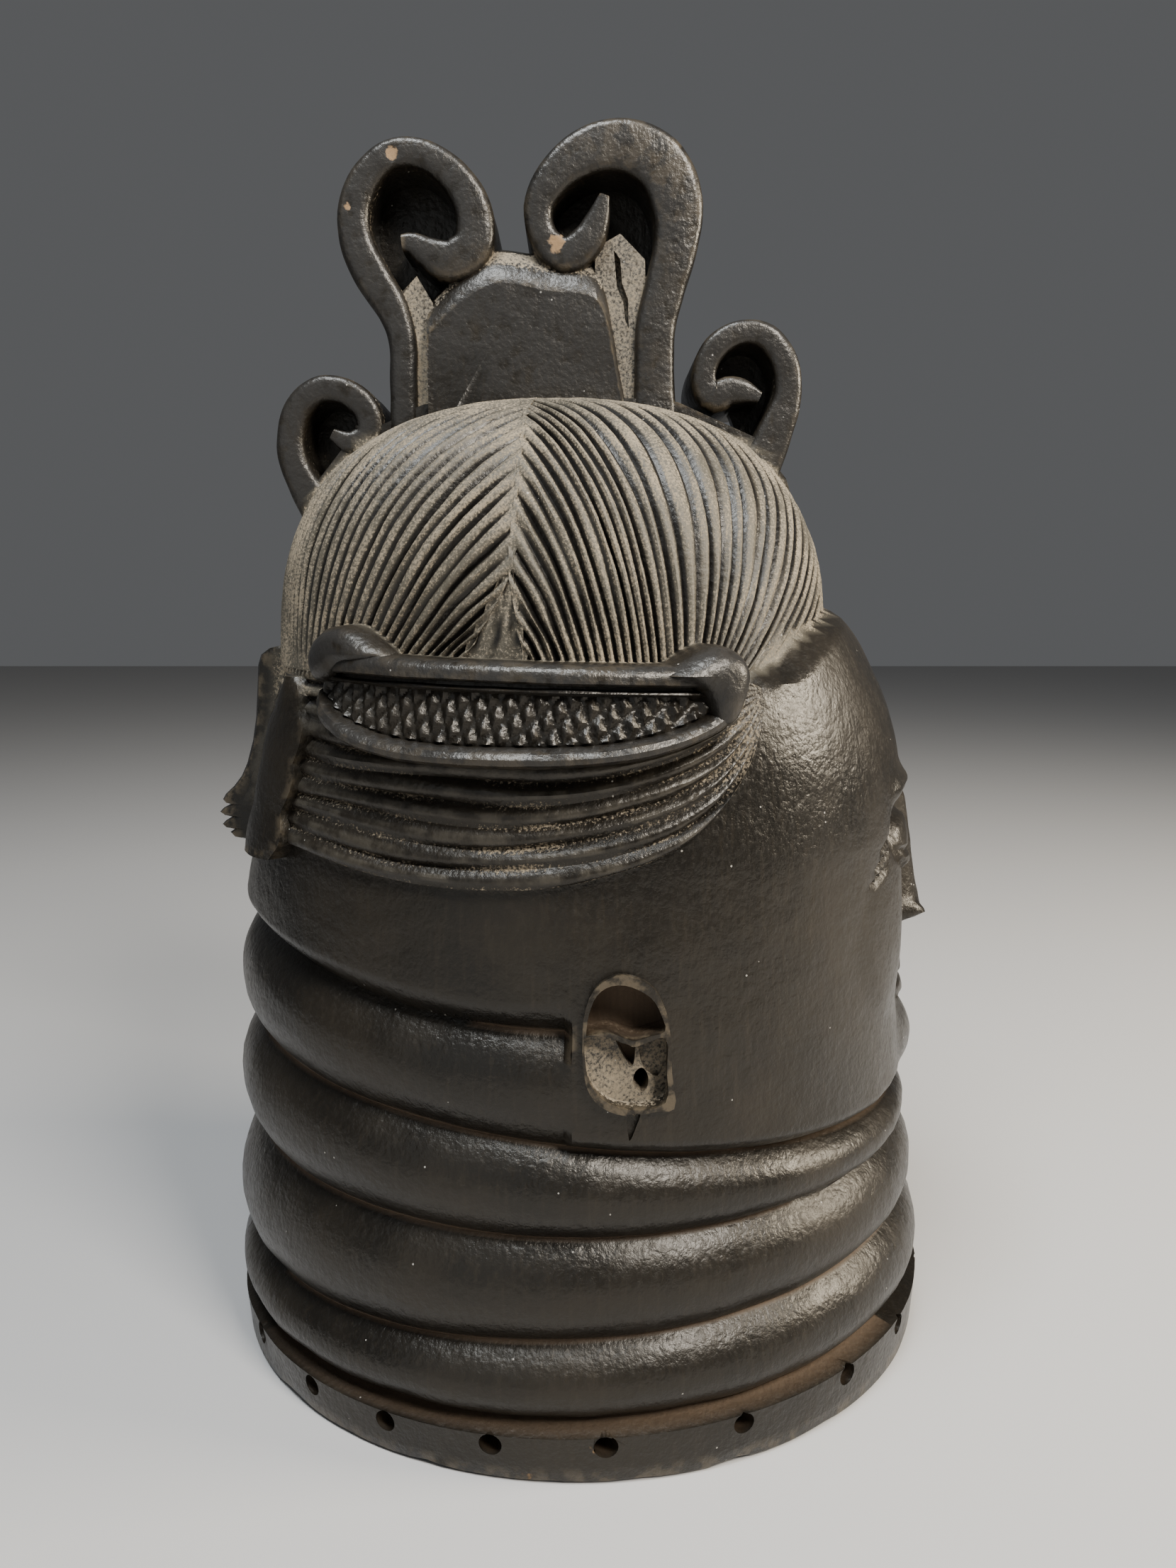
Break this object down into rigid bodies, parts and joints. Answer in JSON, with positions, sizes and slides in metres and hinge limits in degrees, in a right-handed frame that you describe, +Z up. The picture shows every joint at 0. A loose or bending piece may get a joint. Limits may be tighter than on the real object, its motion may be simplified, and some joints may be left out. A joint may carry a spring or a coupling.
{
  "type": "helmet mask",
  "caption": "Carved wooden helmet mask with a calm face, ridged hair, a scrolled crest and a ringed neck; hollow, to be worn over the head.",
  "frame": {"origin": "middle of the rim's underside, on the surface that the mask stands on", "axes": "+Z up through the crest, -Y out of the face, +X to the left ear's side as the wearer has it"},
  "size_m": [0.2292, 0.2438, 0.3888],
  "materials": {
    "mask": "blackened wood, satin and worn, with dust in the carving"
  },
  "bodies": {
    "root": {"mask": "mask"}
  },
  "joints": []
}
